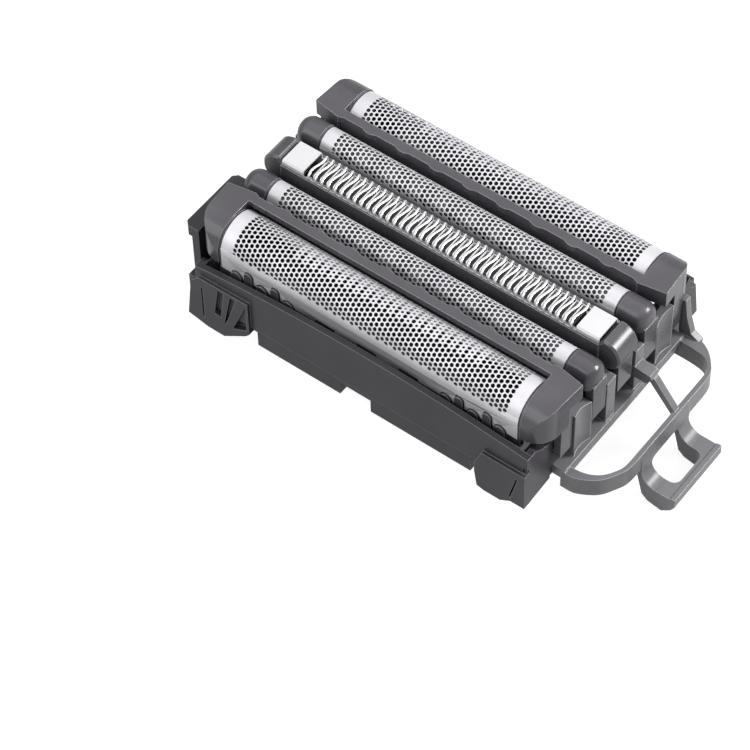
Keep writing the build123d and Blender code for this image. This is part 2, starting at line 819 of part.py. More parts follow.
def wall_face():
    """One long wall as seen from the front, with its crowned top edge."""
    with BuildSketch(Plane.XZ.offset(wall_inner_y)) as face:
        with BuildLine():
            Polyline((-base_half_length, wall_shoulder), (-base_half_length, wall_bottom),
                     (base_half_length, wall_bottom), (base_half_length, wall_shoulder))
            ThreePointArc((base_half_length, wall_shoulder), (0, wall_crown), (-base_half_length, wall_shoulder))
        make_face()
    return face.sketch


def right_block():
    """Outline of the snap block at the right-hand end of a long wall."""
    with BuildSketch(Plane.XZ.offset(wall_inner_y)) as outline:
        with BuildLine():
            Polyline((block_right_start, wall_bottom + 0.2), (block_right_start, 3.0),
                     (block_right_start + 0.4, 0.3), (block_right_start + 1.5, 0.0),
                     (block_right_start + 3.8, 0.0), (block_right_start + 5.3, 1.0),
                     (base_half_length, 1.0), (base_half_length, 7.2), (block_right_start + 1.0, 7.2),
                     (block_right_start, wall_bottom + 0.2))
        make_face()
    return outline.sketch


def left_block():
    """Outline of the snap block at the left-hand end, which wraps round the corner."""
    with BuildSketch(Plane.XZ.offset(wall_inner_y)) as outline:
        with BuildLine():
            Polyline((block_left, 0.7), (block_left + 3.0, 0.0), (block_left + 5.6, 0.0),
                     (block_left_end - 0.6, 2.6), (block_left_end, 3.3), (block_left_end, block_top),
                     (block_left + 2.0, block_top - 0.2), (block_left + 0.8, block_top - 1.6),
                     (block_left, 0.7))
        make_face()
    return outline.sketch


def block_recesses():
    """Slanting pockets, a groove and a notch in the faces of the two blocks."""
    left = block_left
    right = base_half_length
    with BuildSketch(Plane.XZ.offset(wall_y + block_proud)) as recesses:
        with BuildLine():
            Polyline((left + 4.3, 3.6), (left + 5.3, 3.5), (left + 6.0, block_top - 0.5),
                     (left + 5.1, block_top - 0.5), (left + 4.3, 3.6))
        make_face()
        with BuildLine():
            Polyline((left + 5.7, 2.2), (left + 6.2, 3.3), (left + 7.9, block_top - 0.5),
                     (left + 7.0, block_top - 0.5), (left + 5.7, 2.2))
        make_face()
        with BuildLine():
            Polyline((left + 7.1, 2.6), (left + 9.3, 3.8), (left + 9.4, block_top - 0.6), (left + 7.1, 2.6))
        make_face()
        with Locations((left + 2.5, 4.4)):
            Rectangle(0.25, 5.8)
        with BuildLine():
            Polyline((right - 2.3, 1.7), (right - 2.05, 1.7), (right - 1.05, 6.0), (right - 1.3, 6.0),
                     (right - 2.3, 1.7))
        make_face()
    return recesses.sketch


def corner_return(bottom, top, low_top):
    """Side of a corner block, whose top slopes down away from the corner."""
    corner_y = -(wall_y - 0.2)
    with BuildSketch(Plane.YZ) as side:
        with BuildLine():
            Polyline((corner_y, bottom), (corner_y + corner_depth, 1.4), (corner_y + corner_depth, low_top),
                     (corner_y + 2.6, low_top + 0.8), (corner_y + 1.5, top), (corner_y, top),
                     (corner_y, bottom))
        make_face()
    return side.sketch


def front_corner_blocks():
    """The two snap blocks on the front wall and their returns round the corners."""
    with BuildPart() as blocks:
        add(right_block())
        add(left_block())
        extrude(amount=wall_thickness + block_proud, dir=(0, -1, 0))
        add(block_recesses())
        extrude(amount=recess_depth, dir=(0, 1, 0), mode=Mode.SUBTRACT)
    with BuildPart() as right_return:
        add(corner_return(1.0, wall_shoulder, end_wall_top - 0.2))
        extrude(amount=end_wall_thickness, dir=(1, 0, 0))
    with BuildPart() as left_return:
        add(corner_return(0.7, wall_shoulder, 7.4))
        extrude(amount=end_wall_thickness, dir=(1, 0, 0))
    with BuildPart() as left_side:
        add(corner_return(0.7, block_top - 1.6, 6.0))
        extrude(amount=1.3 + end_wall_thickness / 2, dir=(1, 0, 0))
    with BuildPart() as all_blocks:
        add(blocks.part)
        add(Pos(end_inner_x, 0, 0) * right_return.part)
        add(Pos(-base_half_length, 0, 0) * left_return.part)
        add(Pos(block_left, 0, 0) * left_side.part)
    return all_blocks.part


def left_guard():
    """The end wall beyond the left-hand legs, with a lip along its front half."""
    lip = guard_lip_round
    with BuildPart() as guard:
        with BuildSketch(Plane.YZ.offset(-guard_x)):
            with BuildLine():
                Polyline((-guard_y, ledge_bottom), (guard_y, ledge_bottom), (guard_y, guard_low_top),
                         (0.8 - guard_lip_inner, guard_low_top), (-guard_lip_inner, guard_lip_bottom),
                         (-guard_lip_inner, guard_lip_top), (-guard_y, guard_lip_top),
                         (-guard_y, ledge_bottom))
            make_face()
        extrude(amount=guard_x - end_face - guard_gap)
        with BuildSketch(Plane.XY.offset(guard_lip_bottom)):
            with BuildLine():
                Polyline((-guard_x, -guard_y), (lip - guard_lip_x, -guard_y), (-guard_lip_x, lip - guard_y),
                         (-guard_lip_x, -guard_lip_inner - lip), (lip - guard_lip_x, -guard_lip_inner),
                         (-guard_x, -guard_lip_inner), (-guard_x, -guard_y))
            make_face()
        extrude(amount=guard_lip_top - guard_lip_bottom)
        with BuildSketch(Plane.XY.offset(ledge_bottom)):
            with Locations((-base_half_length, 0)):
                Rectangle(guard_x - base_half_length, 2 * guard_y, align=(Align.MAX, Align.CENTER))
        extrude(amount=ledge_thickness)
    return guard.part


def leg_windows():
    """Windows in the end walls where the stop lugs run."""
    sunk_bottom = mid_leg_bottom - mid_sink - stop_gap
    with BuildPart() as windows:
        with BuildSketch(Plane.YZ.offset(-base_half_length)):
            for side in (-1, 1):
                with Locations((side * (-leg_outer_y - leg_inner_y) / 2, outer_leg_bottom - stop_gap)):
                    Rectangle(leg_inner_y - leg_outer_y + 0.4, lug_height + outer_lift + 2 * stop_gap,
                              align=(Align.CENTER, Align.MIN))
                with Locations((side * mid_row_y, sunk_bottom)):
                    Rectangle(2 * mid_leg_half + 0.4, window_top - sunk_bottom, align=(Align.CENTER, Align.MIN))
            with Locations((0, sunk_bottom)):
                Rectangle(2 * comb_leg_half + 0.4, window_top - sunk_bottom, align=(Align.CENTER, Align.MIN))
        extrude(amount=2 * base_half_length)
    return windows.part


def make_base_frame():
    with BuildPart() as half:
        add(wall_face())
        extrude(amount=wall_thickness, dir=(0, -1, 0))
        add(front_corner_blocks())
        with BuildSketch(Plane.XZ.offset(wall_y + block_proud)):
            with Locations((base_half_length, 7.75)):
                Rectangle(1.4, 0.9)
        extrude(amount=-(wall_thickness + block_proud - 0.3), mode=Mode.SUBTRACT)
    with BuildPart() as frame:
        add(half.part)
        add(mirror(half.part, about=Plane.XZ))
        for start in (-base_half_length, end_inner_x):
            with BuildSketch(Plane.YZ.offset(start)):
                with Locations((0, end_wall_bottom)):
                    Rectangle(2 * (wall_y - 0.4), end_wall_top - end_wall_bottom, align=(Align.CENTER, Align.MIN))
            extrude(amount=end_wall_thickness)
        add(leg_windows(), mode=Mode.SUBTRACT)
        add(left_guard())
        add(mirror(make_posts(ledge_bottom), about=Plane.YZ))
    return frame.part


labelled(make_base_frame(), "base_frame")


# End loop: the ledge and posts at the right-hand end, the finger loop, its brace and the hook tab

brace_y = 2.85
arm_width = 1.6
arm_height = 1.7
arm_top = 7.9
arm_tip = ledge_x + 2.2
strut_width = 0.9
upright_y = 12.95
upright_width = 0.95
upright_top = 9.6
tab_lean = 0.15


def bent_side(side, root_y, reach, steps, flat_y):
    """One bent side of the loop as seen from above, from its root to the straight run at the end."""
    root_x = ledge_x + 0.6
    bends = [(reach - back, side * (root_y - drop)) for back, drop in steps]
    Line((ledge_x - 0.6, side * root_y), (root_x, side * root_y))
    Spline((root_x, side * root_y), *bends, (reach, side * flat_y), tangents=((1, 0), (0.03, -side)))


def make_loop_band():
    """The flat band of the loop, drawn from above; its rear bend is wider than its front one."""
    inner = loop_reach - loop_thickness
    root_x = ledge_x - 0.6
    with BuildPart() as band:
        with BuildSketch(Plane.XY.offset(loop_top)):
            with BuildLine():
                bent_side(-1, loop_front_y, loop_reach, ((3.5, 0.55), (1.75, 1.85), (0.75, 3.5)), loop_front_flat)
                bent_side(1, loop_rear_y, loop_reach, ((3.6, 0.4), (1.95, 1.4), (0.8, 2.7)), loop_rear_flat)
                Line((loop_reach, -loop_front_flat), (loop_reach, loop_rear_flat))
                Line((root_x, -loop_front_y), (root_x, loop_rear_y))
            make_face()
            with BuildLine():
                bent_side(-1, loop_front_inner_y, inner, ((3.0, 0.3), (1.25, 1.5), (0.4, 2.9)), loop_front_flat)
                bent_side(1, loop_rear_inner_y, inner, ((2.6, 0.1), (1.35, 0.4), (0.35, 1.3)), loop_rear_flat)
                Line((inner, -loop_front_flat), (inner, loop_rear_flat))
                Line((root_x, -loop_front_inner_y), (root_x, loop_rear_inner_y))
            make_face(mode=Mode.SUBTRACT)
        extrude(amount=-loop_height)
    return band.part


def make_tab():
    """The hook tab: a plate under the band that runs out into a shelf, with one window through both."""
    plate_x = loop_reach
    plate_in = loop_reach - loop_thickness
    end_x = plate_x + tab_reach
    with BuildPart() as tab:
        with BuildSketch(Plane.XZ.offset(-tab_half_width)):
            with BuildLine():
                Polyline((plate_in, loop_top), (plate_x, loop_top), (plate_x + tab_lean, 0.4))
                ThreePointArc((plate_x + tab_lean, 0.4), (plate_x + 0.65, tab_shelf_top + 0.75),
                              (plate_x + 2.0, tab_shelf_top))
                Polyline((plate_x + 2.0, tab_shelf_top), (end_x - 0.8, tab_shelf_top),
                         (end_x - 0.6, tab_shelf_top + 0.25), (end_x, tab_shelf_top + 0.25),
                         (end_x, tab_shelf_top - 1.2), (end_x - 0.5, tab_shelf_top - 2.1),
                         (end_x - 1.8, tab_shelf_top - 3.2), (plate_x + 1.2, tab_shelf_top - 2.8),
                         (plate_x + 0.3, tab_shelf_top - 2.0), (plate_in, -0.6), (plate_in, loop_top))
            make_face()
        extrude(amount=2 * tab_half_width)
        with BuildSketch(Plane.YZ.offset(plate_in)):
            with Locations((0, tab_window_top)):
                RectangleRounded(2 * tab_window_half_width, 10.0, 1.1, align=(Align.CENTER, Align.MAX))
        extrude(amount=2.0, mode=Mode.SUBTRACT)
        with BuildSketch(Plane.XY.offset(tab_shelf_top - 4.0)):
            with Locations((end_x - tab_edge_width, 0)):
                RectangleRounded(2 * (tab_reach - tab_edge_width), 2 * tab_window_half_width, 1.1,
                                 align=(Align.MAX, Align.CENTER))
        extrude(amount=4.5, mode=Mode.SUBTRACT)
    return tab.part


def make_brace():
    """The arm from one post and the thin strut that comes down to the band."""
    foot_x = loop_reach - loop_thickness / 2
    with BuildPart() as brace:
        with BuildSketch(Plane.XZ.offset(-brace_y - arm_width / 2)):
            with BuildLine():
                Polyline((end_face - 0.3, arm_top + 0.3), (arm_tip - 0.3, arm_top), (arm_tip, arm_top - 0.4),
                         (arm_tip - 0.7, arm_top - arm_height), (end_face - 0.3, arm_top - arm_height),
                         (end_face - 0.3, arm_top + 0.3))
            make_face()
        extrude(amount=arm_width)
        with BuildSketch(Plane.XZ.offset(-brace_y - strut_width / 2)):
            with BuildLine():
                Polyline((arm_tip - 0.4, arm_top - 0.1), (arm_tip + 0.2, arm_top - 0.6), (foot_x, loop_top - 0.1),
                         (foot_x, loop_top - 0.8), (foot_x - 0.6, loop_top - 0.8),
                         (arm_tip - 0.6, arm_top - 1.3), (arm_tip - 0.4, arm_top - 0.1))
            make_face()
        extrude(amount=strut_width)
    return brace.part


def make_upright():
    """The upright on the rear root of the loop, under the rear cap."""
    with BuildPart() as upright:
        with BuildSketch(Plane.XZ.offset(-upright_y - upright_width)):
            with BuildLine():
                Polyline((ledge_x - 0.6, loop_top - 0.6), (ledge_x + 2.0, loop_top - 0.6),
                         (ledge_x + 2.0, loop_top), (ledge_x + 0.8, loop_top + 0.7),
                         (ledge_x + 0.05, loop_top + 3.4), (ledge_x - 0.3, upright_top),
                         (ledge_x - 1.0, upright_top), (ledge_x - 1.0, loop_top),
                         (ledge_x - 0.6, loop_top - 0.6))
            make_face()
        extrude(amount=upright_width)
    return upright.part


def make_end_loop():
    with BuildPart() as loop:
        with BuildSketch(Plane.XY.offset(ledge_bottom)):
            with Locations((base_half_length, 0)):
                Rectangle(ledge_depth, 2 * ledge_y, align=(Align.MIN, Align.CENTER))
        extrude(amount=ledge_thickness)
        add(make_posts(ledge_bottom))
        add(make_loop_band())
        add(make_tab())
        add(make_brace())
        add(make_upright())
    return loop.part


labelled(make_end_loop(), "end_loop")
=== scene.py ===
# %% [markdown]
# # A shaver foil head, dressed for a studio photograph
#
# The solids come packed from the CAD model. This lesson keeps most of them and gives them their finish.
# It makes anew what a solid can only hint at: the punched foils, the bent ribs and thin blades of the
# comb, and the wound springs. It also draws in the top of the rear wall.

# %% Load the frame
import json
import math

import bmesh
import bpy
from mathutils import Matrix, Vector


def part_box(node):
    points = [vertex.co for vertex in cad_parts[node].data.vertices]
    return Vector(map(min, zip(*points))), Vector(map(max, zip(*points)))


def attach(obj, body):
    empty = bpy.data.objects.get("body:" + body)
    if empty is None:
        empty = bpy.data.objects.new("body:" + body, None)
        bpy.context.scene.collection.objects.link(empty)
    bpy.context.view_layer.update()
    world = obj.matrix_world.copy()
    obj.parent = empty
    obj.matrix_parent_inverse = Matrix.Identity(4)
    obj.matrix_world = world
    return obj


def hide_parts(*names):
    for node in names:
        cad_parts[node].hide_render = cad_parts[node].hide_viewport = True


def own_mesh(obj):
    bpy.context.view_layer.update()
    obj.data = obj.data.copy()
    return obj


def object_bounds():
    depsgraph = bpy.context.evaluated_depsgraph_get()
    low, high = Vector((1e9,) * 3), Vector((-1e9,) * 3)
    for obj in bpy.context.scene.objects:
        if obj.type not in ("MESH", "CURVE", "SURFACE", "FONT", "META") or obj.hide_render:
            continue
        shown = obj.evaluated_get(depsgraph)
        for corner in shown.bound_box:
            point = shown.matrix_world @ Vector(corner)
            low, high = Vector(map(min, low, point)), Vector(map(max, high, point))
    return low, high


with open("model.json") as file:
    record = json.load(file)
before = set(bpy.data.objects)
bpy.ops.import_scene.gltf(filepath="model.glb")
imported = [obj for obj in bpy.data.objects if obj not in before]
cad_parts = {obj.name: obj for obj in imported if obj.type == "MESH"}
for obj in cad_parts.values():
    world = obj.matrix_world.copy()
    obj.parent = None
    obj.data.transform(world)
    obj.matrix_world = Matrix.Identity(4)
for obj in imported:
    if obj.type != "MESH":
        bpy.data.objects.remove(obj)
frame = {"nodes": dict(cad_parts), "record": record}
cad_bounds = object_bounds()
nodes = frame["nodes"]

# %% [markdown]
# ## The camera
#
# A camera needs four things: where it stands, where it looks, how it is rolled and how long its lens is.
# The head is small and was photographed from about 40 cm with a long lens, so the rows hardly converge.

# %% Place the camera
MM = 0.001
camera_place = Vector((146.86, -201.84, 318.47)) * MM
camera_azimuth = math.radians(38.121)
camera_elevation = math.radians(52.899)
camera_roll = math.radians(-1.585)
camera_lens = 156.53


def place_camera():
    data = bpy.data.cameras.new("studio_camera")
    data.lens = camera_lens
    data.sensor_width = 36.0
    data.clip_start = 0.01
    data.clip_end = 10.0
    camera = bpy.data.objects.new("studio_camera", data)
    bpy.context.collection.objects.link(camera)
    turn = Matrix.Rotation(camera_azimuth, 4, "Z")
    tilt = Matrix.Rotation(math.pi / 2 - camera_elevation, 4, "X")
    roll = Matrix.Rotation(camera_roll, 4, "Z")
    camera.matrix_world = Matrix.Translation(camera_place) @ (turn @ tilt) @ roll
    bpy.context.scene.camera = camera
    return camera


camera = place_camera()
print("camera at", [round(c, 4) for c in camera.location])

# %% [markdown]
# ## A short way to write materials
#
# A material is a small calculation made of nodes. `Wire` stands for one value in it, and Python's own
# operators on a `Wire` add the Math nodes, so a mask can be written as a formula. `Finish.node` makes any
# other node: its settings first, then the values or links of its sockets.


# %% Write shader maths as Python
class Wire:
    """One value inside a material. An operator on it adds the Math node that works it out."""

    def __init__(self, finish, socket):
        self.finish = finish
        self.socket = socket

    def maths(self, operation, first, second=0.0):
        return self.finish.node("Math", {"operation": operation}, {0: first, 1: second})

    def __add__(self, other):
        return self.maths("ADD", self, other)

    __radd__ = __add__

    def __sub__(self, other):
        return self.maths("SUBTRACT", self, other)

    def __rsub__(self, other):
        return self.maths("SUBTRACT", other, self)

    def __mul__(self, other):
        return self.maths("MULTIPLY", self, other)

    __rmul__ = __mul__

    def more(self, other):
        """The larger of two values."""
        return self.maths("MAXIMUM", self, other)

    def over(self, low, high):
        """0 below low, 1 above high, and a smooth step between."""
        return self.finish.node("MapRange", {"interpolation_type": "SMOOTHSTEP"},
                                {"Value": self, "From Min": low, "From Max": high})


class Finish:
    """A material with one Principled shader."""

    def __init__(self, name, **sockets):
        self.material = bpy.data.materials.new(name)
        self.material.use_nodes = True
        self.tree = self.material.node_tree
        self.shader = self.tree.nodes["Principled BSDF"]
        self.set(**sockets)

    def feed(self, socket, value):
        if isinstance(value, Wire):
            self.tree.links.new(value.socket, socket)
        elif hasattr(socket.default_value, "__len__") and len(socket.default_value) == 4:
            socket.default_value = (*value[:3], 1.0)
        else:
            socket.default_value = value

    def node(self, kind, settings=None, sockets=None, output=0):
        made = self.tree.nodes.new("ShaderNode" + kind)
        for name, value in (settings or {}).items():
            setattr(made, name, value)
        for name, value in (sockets or {}).items():
            self.feed(made.inputs[name], value)
        return Wire(self, made.outputs[output])

    def set(self, **sockets):
        for name, value in sockets.items():
            self.feed(self.shader.inputs[name.replace("_", " ").title()], value)

    def place(self, scale=(1, 1, 1)):
        """Where a point lies on the piece, in metres, stretched by scale."""
        here = self.node("TexCoord", output=3)
        return self.node("Mapping", {}, {"Vector": here, "Scale": scale})

    def noise(self, scale, detail=3.0, stretch=(1, 1, 1)):
        sockets = {"Vector": self.place(stretch), "Scale": scale, "Detail": detail}
        return self.node("TexNoise", {}, sockets)

    def mix(self, amount, first, second):
        """A colour between two colours."""
        return self.node("Mix", {"data_type": "RGBA"}, {0: amount, 6: first, 7: second}, output=2)

    def soft_edges(self, radius):
        """The surface's normal with every sharp edge rounded, as a mould leaves it."""
        return self.node("Bevel", {"samples": 6}, {"Radius": radius})

    def edge_mask(self, rounded):
        """0 on a flat face and 1 on an edge, found where the rounded normal leaves the true one."""
        true = self.node("NewGeometry", output=1)
        product = {"operation": "DOT_PRODUCT"}
        same = self.node("VectorMath", product, {0: rounded, 1: true}, output=1)
        nearly_flat, full_edge = 0.004, 0.12
        return (1.0 - same).over(nearly_flat, full_edge)

    def bump(self, height, distance, strength=1.0, normal=None):
        sockets = {"Height": height, "Distance": distance, "Strength": strength}
        if normal is not None:
            sockets["Normal"] = normal
        return self.node("Bump", {}, sockets)


# %% [markdown]
# ## Moulded plastic
#
# The base, the cartridges and the loop are one kind of dark grey plastic with a satin skin. A mould leaves
# three marks on it: a fine grain, edges that are never quite sharp, and a faint cloud of lighter and darker
# grey where the skin flowed. The edges are also painted much lighter: a painted highlight where the rounded
# edges catch the light.

# %% Make the plastics
cloud_scale = 160.0
cloud_range = (0.35, 0.7)
cloud_share = 0.06
# How far every edge is painted lighter: a painted highlight where edges catch the light.
edge_highlight_share = 0.9
grain_scale = 9000.0
grain_depth = 0.012 * MM
edge_radius = 0.15 * MM


def moulded_plastic(name, colour, lighter, roughness, shine):
    finish = Finish(name)
    finish.shader.inputs["Specular IOR Level"].default_value = shine
    cloud = finish.noise(cloud_scale, 4.0).over(*cloud_range)
    grain = finish.noise(grain_scale, 2.0)
    rounded = finish.soft_edges(edge_radius)
    rim = finish.edge_mask(rounded)
    # The edges are painted lighter here, a painted highlight; the faint cloud is the plastic's own tone.
    tone_and_edge_highlight = finish.mix(cloud * cloud_share + rim * edge_highlight_share, colour, lighter)
    finish.set(base_color=tone_and_edge_highlight, roughness=roughness + 0.1 * (cloud - 0.5) + 0.08 * (grain - 0.5))
    finish.set(normal=finish.bump(grain, grain_depth, 0.5, rounded))
    return finish.material


base_plastic = moulded_plastic(
    "base_plastic", (0.028, 0.026, 0.031), (0.20, 0.197, 0.205), roughness=0.36, shine=0.18)
loop_plastic = moulded_plastic(
    "loop_plastic", (0.122, 0.120, 0.128), (0.42, 0.42, 0.43), roughness=0.32, shine=0.3)
carrier_plastic = moulded_plastic(
    "carrier_plastic", (0.050, 0.047, 0.055), (0.30, 0.296, 0.31), roughness=0.26, shine=0.42)
slider_plastic = moulded_plastic(
    "slider_plastic", (0.04, 0.04, 0.044), (0.08, 0.08, 0.084), roughness=0.5, shine=0.3)

# %% [markdown]
# ## Steel
#
# The foils are rolled sheet, so their fine lines run along the rows. The comb is ground brighter, the blades
# inside are duller and coloured nearly black, a painted shade for the dark inside of the head, and the
# springs are drawn wire.

# %% Make the steels
along_the_row = (0.03, 1.0, 1.0)
stain_scale = 220.0
stain_range = (0.3, 0.75)
streak_depth = 0.004 * MM


def rolled_steel(name, colour, darker, roughness, lines=4000.0, metallic=0.25):
    finish = Finish(name, metallic=metallic)
    streaks = finish.noise(lines, 3.0, along_the_row)
    stain = finish.noise(stain_scale, 3.0).over(*stain_range)
    finish.set(base_color=finish.mix(0.5 * stain + 0.25 * streaks, colour, darker))
    finish.set(roughness=roughness + 0.10 * (streaks - 0.5) + 0.05 * (stain - 0.5))
    finish.set(normal=finish.bump(streaks, streak_depth, 0.4))
    return finish.material


foil_steel = rolled_steel(
    "foil_steel", (0.57, 0.56, 0.585), (0.46, 0.45, 0.475), roughness=0.42)
comb_steel = rolled_steel(
    "comb_steel", (0.60, 0.60, 0.605), (0.53, 0.53, 0.535), roughness=0.40, metallic=0.4)
# The blades inside are coloured nearly black: painted shade for the dark inside of the head.
blade_steel = rolled_steel(
    "blade_steel", (0.10, 0.10, 0.105), (0.06, 0.06, 0.064), roughness=0.5)
spring_steel = rolled_steel(
    "spring_steel", (0.6, 0.6, 0.62), (0.45, 0.45, 0.47), roughness=0.3, lines=9000.0, metallic=1.0)

finish_of_slot = {
    "base_plastic": base_plastic,
    "loop_plastic": loop_plastic,
    "carrier_plastic": carrier_plastic,
    "slider_plastic": slider_plastic,
    "foil_steel": foil_steel,
    "comb_steel": comb_steel,
    "blade_steel": blade_steel,
    "spring_steel": spring_steel,
}


def dress(thing, material):
    thing.data.materials.clear()
    thing.data.materials.append(material)


for part in frame["record"]["subparts"]:
    dress(nodes[part["node"]], finish_of_slot[part["material_slot"]])
print("finishes", len(finish_of_slot))

# %% [markdown]
# ## Helpers for modelling
#
# An operator acts on whatever is selected, so each step starts from a clean selection. Two helpers are used
# for every new piece: one takes a copy of a solid and keeps a part of it, the other joins pieces to one.

# %% Select and edit
X, Y, Z = 0, 1, 2
same_point = 0.0001 * MM


def deselect_all():
    bpy.ops.object.select_all(action="DESELECT")


def pick(thing):
    deselect_all()
    thing.select_set(True)
    bpy.context.view_layer.objects.active = thing


def edit(thing):
    pick(thing)
    bpy.ops.object.mode_set(mode="EDIT")
    return bmesh.from_edit_mesh(thing.data)


def leave(thing):
    bmesh.update_edit_mesh(thing.data)
    bpy.ops.object.mode_set(mode="OBJECT")


def apply_modifiers(thing):
    pick(thing)
    for modifier in list(thing.modifiers):
        bpy.ops.object.modifier_apply(modifier=modifier.name)


def settle(thing):
    """Leave the piece at the origin, with its place in its mesh."""
    pick(thing)
    bpy.ops.object.transform_apply(location=True, rotation=True, scale=True)


def repeat(thing, step, count, axis):
    array = thing.modifiers.new("repeat", "ARRAY")
    array.count = count
    array.use_relative_offset = False
    array.use_constant_offset = True
    array.constant_offset_displace = tuple(step if a == axis else 0 for a in range(3))


# %% Cut a solid and keep a part of it
def keep_part(name, node, cuts):
    """A copy of a solid, cut by planes. Each cut is an axis, a value and the side that is cut away."""
    copy = bpy.data.objects.new(name, nodes[node].data.copy())
    bpy.context.collection.objects.link(copy)
    edit(copy)
    bpy.ops.mesh.select_all(action="SELECT")
    bpy.ops.mesh.remove_doubles(threshold=same_point)
    for axis, value, above in cuts:
        place = [0, 0, 0]
        normal = [0, 0, 0]
        place[axis] = value
        normal[axis] = 1
        bpy.ops.mesh.select_all(action="SELECT")
        bpy.ops.mesh.bisect(plane_co=place, plane_no=normal, clear_outer=above,
                            clear_inner=not above, use_fill=True)
    leave(copy)
    return copy


def join(pieces, smooth_below):
    """One object from several, shaded smooth over edges that turn by less than an angle in degrees."""
    deselect_all()
    for piece in pieces:
        piece.select_set(True)
    bpy.context.view_layer.objects.active = pieces[0]
    bpy.ops.object.join()
    pick(pieces[0])
    bpy.ops.object.shade_smooth_by_angle(angle=math.radians(smooth_below))
    return pieces[0]


# %% [markdown]
# ## The punched foils
#
# A real foil starts as flat sheet. It is punched with rows of small holes, each row set half a step from
# the last, and then bent over a former. The same order works here: one six-sided cell with a hole in it is
# repeated to a flat field, the field gets plain borders, and the whole sheet is wrapped to its arch. The
# straight skirts below the arch, with their bites and notches, come from the solid foil.

# %% Model one cell
hole_step_along = 1.27 * MM
hole_step_across = 0.65 * MM
hole_radius = 0.274 * MM
hole_sides = 12
cell_tip = 0.4007 * MM
cell_shoulder = 0.2343 * MM


def cell_outline(corner):
    """Twelve points on a cell's six sides: its corners and the middles of the sides between them."""
    half = hole_step_across / 2
    corners = [(cell_tip, 0), (cell_shoulder, half), (-cell_shoulder, half),
               (-cell_tip, 0), (-cell_shoulder, -half), (cell_shoulder, -half)]
    first = corners[corner // 2]
    if corner % 2 == 0:
        return first
    following = corners[(corner // 2 + 1) % 6]
    return ((first[0] + following[0]) / 2, (first[1] + following[1]) / 2)


def make_cell(name):
    deselect_all()
    bpy.ops.mesh.primitive_circle_add(vertices=hole_sides, radius=hole_radius, location=(0, 0, 0))
    cell = bpy.context.object
    cell.name = name
    edit(cell)
    bpy.ops.mesh.select_all(action="SELECT")
    bpy.ops.mesh.extrude_region_move()
    bpy.ops.transform.resize(value=(1.6, 1.6, 1))
    mesh = bmesh.from_edit_mesh(cell.data)
    for vertex in mesh.verts:
        if vertex.select:
            turn = math.atan2(vertex.co.y, vertex.co.x) / (2 * math.pi) * hole_sides
            vertex.co.x, vertex.co.y = cell_outline(round(turn) % hole_sides)
    leave(cell)
    return cell


# %% Repeat it to a field
small_hole = 0.68
mixed_from = 0.17
mixed_to = 0.85
merge_distance = 0.005 * MM


def shrink_holes(field, x_range, y_range):
    """Make every other hole of an area smaller. An outer foil has such a mixed area along its crest."""
    hole_reach = hole_radius * 1.05
    for vertex in field.data.vertices:
        column = round(vertex.co.x / hole_step_along)
        row = round(vertex.co.y / hole_step_across)
        centre = Vector((column * hole_step_along, row * hole_step_across, 0))
        arm = vertex.co - centre
        inside = x_range[0] < column < x_range[1] and y_range[0] < row < y_range[1]
        if inside and arm.length < hole_reach:
            vertex.co = centre + arm * small_hole


def make_field(name, columns, rows, mixed):
    """A flat field of holes about the origin: rows of holes and, between them, rows set half a step on."""
    cell = make_cell(name)
    repeat(cell, hole_step_along, columns, X)
    repeat(cell, hole_step_across, rows, Y)
    apply_modifiers(cell)
    edit(cell)
    half_step = (hole_step_along / 2, hole_step_across / 2, 0)
    bpy.ops.mesh.select_all(action="SELECT")
    bpy.ops.mesh.duplicate_move(TRANSFORM_OT_translate={"value": half_step})
    bpy.ops.mesh.select_all(action="SELECT")
    bpy.ops.mesh.remove_doubles(threshold=merge_distance)
    leave(cell)
    if mixed:
        shrink_holes(cell, (mixed_from * columns, mixed_to * columns), mixed)
    middle = Vector(((columns - 0.5) * hole_step_along / 2, (rows - 0.5) * hole_step_across / 2, 0))
    for vertex in cell.data.vertices:
        vertex.co -= middle
    return cell


# %% Give it plain borders
def widen(sheet, axis, target, steps):
    """Carry the field's outer edge on one side out to a straight line at target, in a few steps."""
    mesh = edit(sheet)
    side = 1 if target > 0 else -1
    bpy.ops.mesh.select_all(action="DESELECT")
    reach = max(side * vertex.co[axis] for vertex in mesh.verts)
    outer_band = (hole_step_along if axis == X else hole_step_across) * 0.9
    longest_hole_side = 2 * hole_radius * math.sin(math.pi / hole_sides) * 1.2
    for edge in mesh.edges:
        if edge.is_boundary and min(side * v.co[axis] for v in edge.verts) > reach - outer_band:
            if edge.calc_length() > longest_hole_side:
                edge.select_set(True)
    for step in range(steps):
        line = side * (reach + (abs(target) - reach) * (step + 1) / steps)
        bpy.ops.mesh.extrude_region_move()
        mesh = bmesh.from_edit_mesh(sheet.data)
        for vertex in mesh.verts:
            if vertex.select:
                vertex.co[axis] = line
        bmesh.update_edit_mesh(sheet.data)
    leave(sheet)


# %% Wrap the sheet to its arch
sheet_length = 44.0 * MM
sheet_thickness = 0.06 * MM
blank_end = 1.45 * MM


def wrap(sheet, row_y, arch_z, radius):
    """Bend the flat sheet over a round former: what was a width becomes a way round the arch."""
    for vertex in sheet.data.vertices:
        angle = vertex.co.y / radius
        vertex.co.y = row_y + radius * math.sin(angle)
        vertex.co.z = arch_z + radius * math.cos(angle)


